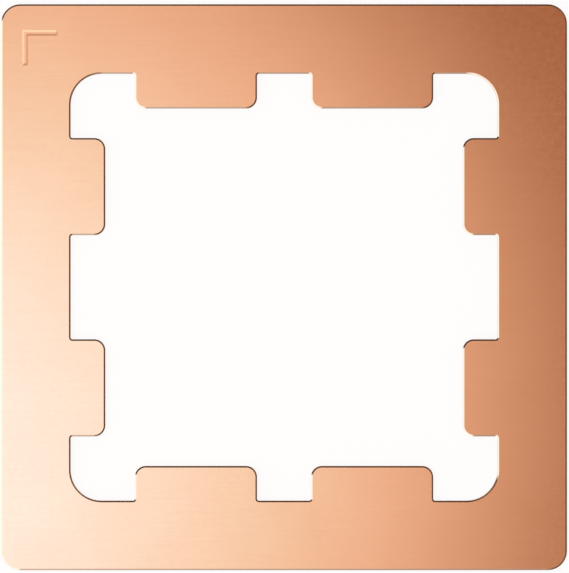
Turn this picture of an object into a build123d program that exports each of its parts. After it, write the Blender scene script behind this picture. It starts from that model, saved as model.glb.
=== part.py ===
from build123d import *
import math
import os

# Thermal paste guard: one copper sheet, cut to a square frame that lies round a processor's heat spreader.
# The spreader's legs stand in the window, and the guard's tabs fill the notches between the legs,
# so that paste squeezed out from under a cooler can't run down among them.
# Sizes are in millimetres. The origin is the middle of the underside, +Z is the face with the corner mark,
# and +Y is the edge next to the mark.

# Heat spreader that the window fits round
spreader_side = 33.0
corner_leg_width = 4.8
end_leg_width = 4.0
side_leg_width = 7.9
notch_depth = 2.7
fit_clearance = 0.1

# Sheet
bar_width = 5.4
sheet_thickness = 1.0
outer_corner_radius = 1.5
window_corner_radius = 2.4
tab_tip_radius = 0.85
tab_root_radius = 0.15
edge_break_width = 0.12
edge_break_depth = 0.08

# Raised corner mark, two arms with a narrow land on top and sloped flanks
mark_arm = 2.75
mark_land = 0.14
mark_flank = 0.155
mark_height = 0.07
mark_side_margin = 1.65
mark_end_margin = 2.0

# Sizes that follow from those above
window_side = spreader_side + 2 * fit_clearance
sheet_side = window_side + 2 * bar_width
tab_outer_edge = spreader_side / 2 - corner_leg_width - fit_clearance
mark_stroke = mark_land + 2 * mark_flank


def tab_plan(width):
    """One tab, rooted on the line y = 0 and reaching towards -Y."""
    side = width / 2
    foot = side + 2 * tab_root_radius
    outline = FilletPolyline(
        (-foot, 0),
        (-side, 0),
        (-side, -notch_depth),
        (side, -notch_depth),
        (side, 0),
        (foot, 0),
        radius=(tab_root_radius, tab_tip_radius, tab_tip_radius, tab_root_radius),
    )
    return make_face([*outline.edges(), Line((foot, 0), (-foot, 0))])


def wall_tabs(leg_width):
    """The pair of tabs on the window's +Y wall, either side of its middle leg."""
    inner_edge = leg_width / 2 + fit_clearance
    width = tab_outer_edge - inner_edge
    middle = inner_edge + width / 2
    return [Pos(side * middle, window_side / 2) * tab_plan(width) for side in (-1, 1)]


def sheet_plan():
    """Outline of the sheet with its window and tabs."""
    plan = RectangleRounded(sheet_side, sheet_side, outer_corner_radius)
    plan -= RectangleRounded(window_side, window_side, window_corner_radius)
    for turn in (0, 180):
        plan += [Rot(0, 0, turn) * tab for tab in wall_tabs(end_leg_width)]
        plan += [Rot(0, 0, turn + 90) * tab for tab in wall_tabs(side_leg_width)]
    return plan


def corner_mark():
    """Raised angle in the -X +Y corner, its arms along the two outer edges."""
    corner = Pos(mark_side_margin - sheet_side / 2, sheet_side / 2 - mark_end_margin, sheet_thickness)
    plan = Rectangle(mark_arm, mark_stroke, align=(Align.MIN, Align.MAX))
    plan += Rectangle(mark_stroke, mark_arm, align=(Align.MIN, Align.MAX))
    flank_taper = math.degrees(math.atan2(mark_flank, mark_height))
    return extrude(corner * plan, mark_height, taper=flank_taper)


def break_edges(sheet, level):
    """Takes the sharp edge off the whole outline of the lowest face (level 0) or the highest (level -1)."""
    face = sheet.faces().sort_by(Axis.Z)[level]
    return chamfer(face.edges(), edge_break_width, edge_break_depth, reference=face)


def guard_frame():
    """The whole guard: the cut sheet, its edges broken on both faces, and the mark on its upper face."""
    sheet = extrude(sheet_plan(), sheet_thickness)
    for level in (0, -1):
        sheet = break_edges(sheet, level)
    return sheet + corner_mark()


os.makedirs("parts", exist_ok=True)
export_step(guard_frame(), "parts/guard_frame.step")
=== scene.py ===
import bpy
import math
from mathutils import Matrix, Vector


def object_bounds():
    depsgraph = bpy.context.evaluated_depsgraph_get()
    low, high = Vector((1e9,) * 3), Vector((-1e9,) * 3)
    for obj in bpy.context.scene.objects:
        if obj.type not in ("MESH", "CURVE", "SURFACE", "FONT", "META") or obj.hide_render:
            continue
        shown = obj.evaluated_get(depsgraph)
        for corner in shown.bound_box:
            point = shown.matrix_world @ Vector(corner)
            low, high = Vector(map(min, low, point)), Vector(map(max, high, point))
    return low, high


# A copper thermal paste guard lying on white paper, seen from straight above.
# Lengths are in metres and colours are linear.

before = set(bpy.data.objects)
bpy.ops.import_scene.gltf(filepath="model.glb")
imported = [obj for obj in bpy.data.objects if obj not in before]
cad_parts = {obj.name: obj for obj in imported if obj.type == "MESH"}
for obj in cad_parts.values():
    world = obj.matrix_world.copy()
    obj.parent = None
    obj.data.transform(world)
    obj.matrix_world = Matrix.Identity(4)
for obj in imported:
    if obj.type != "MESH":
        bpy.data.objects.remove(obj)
cad_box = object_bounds()

MM = 0.001

# Picture: the plate's width and middle in pixels, and a long lens and its sensor in millimetres
PICTURE_WIDTH = 569
PICTURE_HEIGHT = 573
PLATE_SPAN_PX = 566.0
PLATE_MIDDLE_PX = (284.0, 287.25)
LENS = 600.0
SENSOR = 36.0

# Plate: satin faces, edges burnished by the press tool and made paler than the faces as a painted highlight,
# and walls that it sheared, made darker than the faces as painted shade.
# A surface that leans more than these tilts from level is an edge, or a wall.
FACE_HEIGHT = 1.0 * MM
EDGE_TILT = math.radians(29)
WALL_TILT = math.radians(60)
FACE_PALE = (0.962, 0.660, 0.500)
FACE_DEEP = (0.938, 0.620, 0.460)
# Edge colour: burnished copper, paler than the faces partly as a painted highlight
EDGE_BURNISH_AND_HIGHLIGHT = (0.95, 0.76, 0.60)
# Wall colours: sheared copper, darker than the faces partly as painted shade
WALL_SHEAR_AND_SHADE_PALE = (0.76, 0.50, 0.38)
WALL_SHEAR_AND_SHADE_DEEP = (0.58, 0.34, 0.235)
FACE_ROUGHNESS = (0.195, 0.245)
EDGE_ROUGHNESS = 0.08
WALL_ROUGHNESS = (0.30, 0.46)

# Marks on the copper: cloudy patches, specks, rolling lines along X, and shear lines down the walls.
# Each is a noise, with its number of finer layers. Most of a noise lies within the noise range.
PATCH_SIZE = 5.0 * MM
PATCH_LAYERS = 2.0
SPECK_SIZE = 0.35 * MM
SPECK_LAYERS = 4.0
ROLL_LENGTH = 6.0 * MM
ROLL_WIDTH = 0.16 * MM
ROLL_DEPTH = 0.00035 * MM
ROLL_SHARE = 0.4
SHEAR_WIDTH = 0.14 * MM
SHEAR_LENGTH = 2.2 * MM
SHEAR_DEPTH = 0.012 * MM
LINE_LAYERS = 3.0
NOISE_RANGE = (0.3, 0.7)

# Scrim over the plate: a glow that is white at its middle, on the left, and fades to brown at the right.
# It fades with the distance from its middle, which is stretched across a line that rises to the right.
SCRIM_HEIGHT = FACE_HEIGHT + 80 * MM
SCRIM_X = (-90 * MM, 45 * MM)
SCRIM_Y = (-38 * MM, 46 * MM)
SCRIM_MIDDLE = (-40.0 * MM, -17.9 * MM)
SCRIM_TILT = math.radians(30)
SCRIM_STRETCH = 1.19
SCRIM_STOPS = (
    (18 * MM, (1.15, 1.40, 1.63)),
    (36 * MM, (1.02, 1.03, 0.91)),
    (54 * MM, (0.92, 0.62, 0.44)),
    (72 * MM, (0.315, 0.123, 0.048)),
)

# Strip lights behind the scrim and left of it, at its height, which the outer flanks of the mark show
BACK_STRIP_X = (-50 * MM, 0.0)
BACK_STRIP_Y = (98 * MM, 130 * MM)
LEFT_STRIP_X = (-130 * MM, -98 * MM)
LEFT_STRIP_Y = (0.0, 50 * MM)
STRIP_GLOW = (1.4, 1.35, 1.14)

# Round ceiling above them: warm, brightest over the plate and behind it, and dimmer away from there.
# The inner flanks of the mark show it, and so do the faces when they are seen from the sides.
CEILING_HEIGHT = 200 * MM
CEILING_REACH = 400 * MM
CEILING_SIDES = 96
CEILING_MIDDLE = (10 * MM, 150 * MM)
CEILING_STOPS = (
    (200 * MM, (0.93, 0.65, 0.455)),
    (380 * MM, (0.54, 0.36, 0.23)),
)

# Surroundings: a warm horizon, and above it a ring that the plate's edges show from above.
# The ring is bright on the left and the front left, dim on the right and dark behind.
# Its stops are in degrees round from +X. Its rise is in degrees above level, where it fades in and out again.
HORIZON_GLOW = (0.70, 0.50, 0.365)
KEY_GLOW = (1.18, 1.26, 1.30)
FRONT_GLOW = (0.415, 0.286, 0.234)
DIM_GLOW = (0.112, 0.055, 0.036)
DARK_GLOW = (0.059, 0.025, 0.0145)
RING_STOPS = (
    (-180, KEY_GLOW),
    (-100, KEY_GLOW),
    (-88, FRONT_GLOW),
    (-66, DIM_GLOW),
    (40, DIM_GLOW),
    (70, DARK_GLOW),
    (162, DARK_GLOW),
    (172, KEY_GLOW),
)
RING_RISE = (18.5, 20, 25, 26.5)

# Lamp that lights the paper
LAMP_PLACE = Vector((-0.08, -0.06, 0.55))
LAMP_SIZE = 0.4
LAMP_POWER = 1.8
LAMP_COLOUR = (0.88, 0.96, 1.0)

# Paper, and the share of it that is an even white
PAPER_WHITE = (0.92, 0.92, 0.92)
PAPER_EVEN_SHARE = 0.88
PAPER_REACH = 6.0
PAPER_GAP = 0.01 * MM


def add_node(tree, kind, settings=None, inputs=None):
    """A shader node with its settings and its unlinked inputs."""
    made = tree.nodes.new(kind)
    for name, value in (settings or {}).items():
        setattr(made, name, value)
    for name, value in (inputs or {}).items():
        made.inputs[name].default_value = value
    return made


def add_ramp(tree, stops):
    """A colour ramp with these (place, colour) stops."""
    ramp = add_node(tree, "ShaderNodeValToRGB")
    elements = ramp.color_ramp.elements
    while len(elements) < len(stops):
        elements.new(1.0)
    for element, (place, colour) in zip(elements, stops):
        element.position = place
        element.color = (*colour, 1)
    return ramp


def add_noise(tree, coords, sizes, layers):
    """Noise whose grains have these sizes along X, Y and Z."""
    scaled = add_node(tree, "ShaderNodeVectorMath", {"operation": "DIVIDE"})
    scaled.inputs[1].default_value = sizes
    tree.links.new(coords.outputs["Object"], scaled.inputs[0])
    noise = add_node(tree, "ShaderNodeTexNoise", inputs={"Scale": 1.0, "Detail": layers})
    tree.links.new(scaled.outputs["Vector"], noise.inputs["Vector"])
    return noise.outputs["Fac"]


def add_mix(tree, kind, factor, first, second):
    """Mixes two colours, or two numbers, each a fixed value or the output of a node."""
    mix = add_node(tree, "ShaderNodeMix", {"data_type": kind})
    sockets = {socket.name: socket for socket in mix.inputs if socket.enabled}
    for name, value in (("Factor", factor), ("A", first), ("B", second)):
        if isinstance(value, bpy.types.NodeSocket):
            tree.links.new(value, sockets[name])
        else:
            sockets[name].default_value = value
    return next(socket for socket in mix.outputs if socket.enabled)


def add_range(tree, value, low, high, out_low=0.0, out_high=1.0):
    """Spreads a value from one range over another."""
    spread = add_node(tree, "ShaderNodeMapRange", inputs={
        "From Min": low,
        "From Max": high,
        "To Min": out_low,
        "To Max": out_high,
    })
    tree.links.new(value, spread.inputs["Value"])
    return spread.outputs["Result"]


def add_tilt_mask(tree, normal_z, tilt):
    """One where the surface leans more than this angle from level, and zero elsewhere."""
    mask = add_node(tree, "ShaderNodeMath", {"operation": "LESS_THAN"})
    mask.inputs[1].default_value = math.cos(tilt)
    tree.links.new(normal_z, mask.inputs[0])
    return mask.outputs["Value"]


def add_bump(tree, height, distance, strength, normal=None):
    """Relief of this depth where the strength is one, on top of any earlier relief."""
    bump = add_node(tree, "ShaderNodeBump", inputs={"Distance": distance})
    tree.links.new(height, bump.inputs["Height"])
    tree.links.new(strength, bump.inputs["Strength"])
    if normal:
        tree.links.new(normal, bump.inputs["Normal"])
    return bump.outputs["Normal"]


def new_material(name):
    """An empty node material and its output."""
    material = bpy.data.materials.new(name)
    material.use_nodes = True
    material.node_tree.nodes.clear()
    output = add_node(material.node_tree, "ShaderNodeOutputMaterial")
    return material, output


def copper_material():
    """Satin copper sheet with cloudy patches and faint rolling lines, burnished edges made paler as a painted
    highlight, and sheared walls made darker as painted shade.
    """
    material, output = new_material("satin_copper")
    tree = material.node_tree
    link = tree.links.new
    coords = add_node(tree, "ShaderNodeTexCoord")
    geometry = add_node(tree, "ShaderNodeNewGeometry")
    normal = add_node(tree, "ShaderNodeSeparateXYZ")
    link(geometry.outputs["True Normal"], normal.inputs["Vector"])
    level = add_node(tree, "ShaderNodeMath", {"operation": "ABSOLUTE"})
    link(normal.outputs["Z"], level.inputs[0])
    edge = add_tilt_mask(tree, level.outputs["Value"], EDGE_TILT)
    wall = add_tilt_mask(tree, level.outputs["Value"], WALL_TILT)
    face = add_range(tree, edge, 0, 1, 1, 0)

    patches = add_noise(tree, coords, (PATCH_SIZE, PATCH_SIZE, PATCH_SIZE), PATCH_LAYERS)
    specks = add_noise(tree, coords, (SPECK_SIZE, SPECK_SIZE, SPECK_SIZE), SPECK_LAYERS)
    rolling = add_noise(tree, coords, (ROLL_LENGTH, ROLL_WIDTH, ROLL_WIDTH), LINE_LAYERS)
    shear = add_noise(tree, coords, (SHEAR_WIDTH, SHEAR_WIDTH, SHEAR_LENGTH), LINE_LAYERS)

    grain = add_mix(tree, "FLOAT", ROLL_SHARE, patches, rolling)
    grain = add_range(tree, grain, *NOISE_RANGE)
    tone = add_mix(tree, "RGBA", grain, (*FACE_PALE, 1), (*FACE_DEEP, 1))
    # Paler edges: burnish, and partly a painted highlight
    tone = add_mix(tree, "RGBA", edge, tone, (*EDGE_BURNISH_AND_HIGHLIGHT, 1))
    # Darker walls with shear lines: shear tone, and partly painted shade
    wall_shear_and_shade_tone = add_mix(tree, "RGBA", shear, (*WALL_SHEAR_AND_SHADE_DEEP, 1), (*WALL_SHEAR_AND_SHADE_PALE, 1))
    tone = add_mix(tree, "RGBA", wall, tone, wall_shear_and_shade_tone)

    roughness = add_range(tree, specks, *NOISE_RANGE, *FACE_ROUGHNESS)
    roughness = add_mix(tree, "FLOAT", edge, roughness, EDGE_ROUGHNESS)
    wall_roughness = add_range(tree, shear, *NOISE_RANGE, *WALL_ROUGHNESS)
    roughness = add_mix(tree, "FLOAT", wall, roughness, wall_roughness)

    relief = add_bump(tree, rolling, ROLL_DEPTH, face)
    relief = add_bump(tree, shear, SHEAR_DEPTH, wall, relief)

    shader = add_node(tree, "ShaderNodeBsdfPrincipled", inputs={"Metallic": 1.0})
    link(tone, shader.inputs["Base Color"])
    link(roughness, shader.inputs["Roughness"])
    link(relief, shader.inputs["Normal"])
    link(shader.outputs["BSDF"], output.inputs["Surface"])
    return material


def paper_material():
    """White paper: mostly an even white to the eye and to the metal, the rest takes light and shadow."""
    material, output = new_material("white_paper")
    tree = material.node_tree
    link = tree.links.new
    rays = add_node(tree, "ShaderNodeLightPath")
    seen = add_node(tree, "ShaderNodeMath", {"operation": "ADD"})
    link(rays.outputs["Is Camera Ray"], seen.inputs[0])
    link(rays.outputs["Is Glossy Ray"], seen.inputs[1])
    share = add_node(tree, "ShaderNodeMath", {"operation": "MULTIPLY"})
    share.inputs[1].default_value = PAPER_EVEN_SHARE
    link(seen.outputs[0], share.inputs[0])
    paper = add_node(tree, "ShaderNodeBsdfDiffuse", inputs={"Color": (*PAPER_WHITE, 1)})
    white = add_node(tree, "ShaderNodeEmission", inputs={"Color": (1, 1, 1, 1), "Strength": 1.0})
    mix = add_node(tree, "ShaderNodeMixShader")
    link(share.outputs[0], mix.inputs["Fac"])
    link(paper.outputs["BSDF"], mix.inputs[1])
    link(white.outputs["Emission"], mix.inputs[2])
    link(mix.outputs["Shader"], output.inputs["Surface"])
    return material


def even_glow(name, colour):
    """Glow of one colour."""
    material, output = new_material(name)
    tree = material.node_tree
    glow = add_node(tree, "ShaderNodeEmission", inputs={"Color": (*colour, 1), "Strength": 1.0})
    tree.links.new(glow.outputs["Emission"], output.inputs["Surface"])
    return material


def fading_glow(name, middle, stops, tilt=0, stretch=1):
    """Glow that changes with the distance from its middle, by these (distance, colour) stops."""
    material, output = new_material(name)
    tree = material.node_tree
    link = tree.links.new
    coords = add_node(tree, "ShaderNodeTexCoord")
    from_middle = add_node(tree, "ShaderNodeMapping", {"vector_type": "TEXTURE"}, {
        "Location": middle,
        "Rotation": (0, 0, tilt),
        "Scale": (1, 1 / stretch, 1),
    })
    link(coords.outputs["Object"], from_middle.inputs["Vector"])
    distance = add_node(tree, "ShaderNodeVectorMath", {"operation": "LENGTH"})
    link(from_middle.outputs["Vector"], distance.inputs[0])
    reach = stops[-1][0]
    ramp = add_ramp(tree, [(place / reach, colour) for place, colour in stops])
    link(add_range(tree, distance.outputs["Value"], 0, reach), ramp.inputs["Fac"])
    glow = add_node(tree, "ShaderNodeEmission", inputs={"Strength": 1.0})
    link(ramp.outputs["Color"], glow.inputs["Color"])
    link(glow.outputs["Emission"], output.inputs["Surface"])
    return material


def rectangle(x_range, y_range):
    """Corners of a rectangle between these limits."""
    (x0, x1), (y0, y1) = x_range, y_range
    return [(x0, y0), (x1, y0), (x1, y1), (x0, y1)]


def disc(radius, sides):
    """Corners of a many-sided disc round the origin."""
    turns = [math.tau * i / sides for i in range(sides)]
    return [(radius * math.cos(turn), radius * math.sin(turn)) for turn in turns]


def stage_card(name, corners, height, material):
    """A level card that belongs to the studio."""
    mesh = bpy.data.meshes.new(name)
    mesh.from_pydata([(x, y, height) for x, y in corners], [], [range(len(corners))])
    mesh.materials.append(material)
    card = bpy.data.objects.new(name, mesh)
    bpy.context.scene.collection.objects.link(card)
    return card


def light_card(name, corners, height, material):
    """A card over the plate that lights it and shows in it, but not in the picture."""
    card = stage_card(name, corners, height, material)
    card.visible_camera = False
    card.visible_shadow = False


def make_cards():
    """The paper under the plate, and the scrim, the ceiling and the strip lights over it."""
    paper_range = (-PAPER_REACH, PAPER_REACH)
    stage_card("paper", rectangle(paper_range, paper_range), -PAPER_GAP, paper_material())

    scrim_middle = (*SCRIM_MIDDLE, SCRIM_HEIGHT)
    scrim_glow = fading_glow("scrim_glow", scrim_middle, SCRIM_STOPS, SCRIM_TILT, SCRIM_STRETCH)
    light_card("scrim", rectangle(SCRIM_X, SCRIM_Y), SCRIM_HEIGHT, scrim_glow)

    ceiling_middle = (*CEILING_MIDDLE, CEILING_HEIGHT)
    ceiling_glow = fading_glow("ceiling_glow", ceiling_middle, CEILING_STOPS)
    light_card("ceiling", disc(CEILING_REACH, CEILING_SIDES), CEILING_HEIGHT, ceiling_glow)

    strip_glow = even_glow("strip_glow", STRIP_GLOW)
    light_card("back_strip", rectangle(BACK_STRIP_X, BACK_STRIP_Y), SCRIM_HEIGHT, strip_glow)
    light_card("left_strip", rectangle(LEFT_STRIP_X, LEFT_STRIP_Y), SCRIM_HEIGHT, strip_glow)


def make_world():
    """The surroundings, by height above the horizon and by direction round the plate."""
    world = bpy.data.worlds.new("studio")
    world.use_nodes = True
    tree = world.node_tree
    link = tree.links.new
    coords = add_node(tree, "ShaderNodeTexCoord")
    axes = add_node(tree, "ShaderNodeSeparateXYZ")
    link(coords.outputs["Generated"], axes.inputs["Vector"])
    azimuth = add_node(tree, "ShaderNodeMath", {"operation": "ARCTAN2"})
    link(axes.outputs["Y"], azimuth.inputs[0])
    link(axes.outputs["X"], azimuth.inputs[1])
    ring = add_ramp(tree, [((degrees + 180) / 360, colour) for degrees, colour in RING_STOPS])
    link(add_range(tree, azimuth.outputs["Value"], -math.pi, math.pi), ring.inputs["Fac"])
    heights = [math.sin(math.radians(degrees)) for degrees in RING_RISE]
    black, white = (0, 0, 0), (1, 1, 1)
    ring_share = add_ramp(tree, list(zip(heights, (black, white, white, black))))
    link(axes.outputs["Z"], ring_share.inputs["Fac"])
    glow = add_mix(tree, "RGBA", ring_share.outputs["Color"], (*HORIZON_GLOW, 1), ring.outputs["Color"])
    link(glow, tree.nodes["Background"].inputs["Color"])
    bpy.context.scene.world = world


def make_lamp():
    """A soft lamp for the paper: the metal doesn't show it, but shows the cards and the surroundings."""
    data = bpy.data.lights.new("paper_lamp", "AREA")
    data.energy = LAMP_POWER
    data.color = LAMP_COLOUR
    data.size = LAMP_SIZE
    lamp = bpy.data.objects.new("paper_lamp", data)
    lamp.location = LAMP_PLACE
    lamp.rotation_euler = LAMP_PLACE.to_track_quat("Z", "Y").to_euler()
    lamp.visible_glossy = False
    bpy.context.scene.collection.objects.link(lamp)


def make_camera():
    """Straight above, with the plate as wide in the picture as it is in the photo."""
    length_per_px = (cad_box[1].x - cad_box[0].x) / PLATE_SPAN_PX
    data = bpy.data.cameras.new("camera")
    data.lens = LENS
    data.sensor_width = SENSOR
    # The sensor spans the picture's longer side, which is its height
    distance = PICTURE_HEIGHT * length_per_px * LENS / SENSOR
    across = (PICTURE_WIDTH / 2 - PLATE_MIDDLE_PX[0]) * length_per_px
    up = (PLATE_MIDDLE_PX[1] - PICTURE_HEIGHT / 2) * length_per_px
    camera = bpy.data.objects.new("camera", data)
    camera.location = (across, up, FACE_HEIGHT + distance)
    bpy.context.scene.collection.objects.link(camera)
    bpy.context.scene.camera = camera


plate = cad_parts["guard_frame"]
plate.material_slots[0].material = copper_material()
make_cards()
make_world()
make_lamp()
make_camera()
bpy.context.scene.view_settings.view_transform = "Standard"
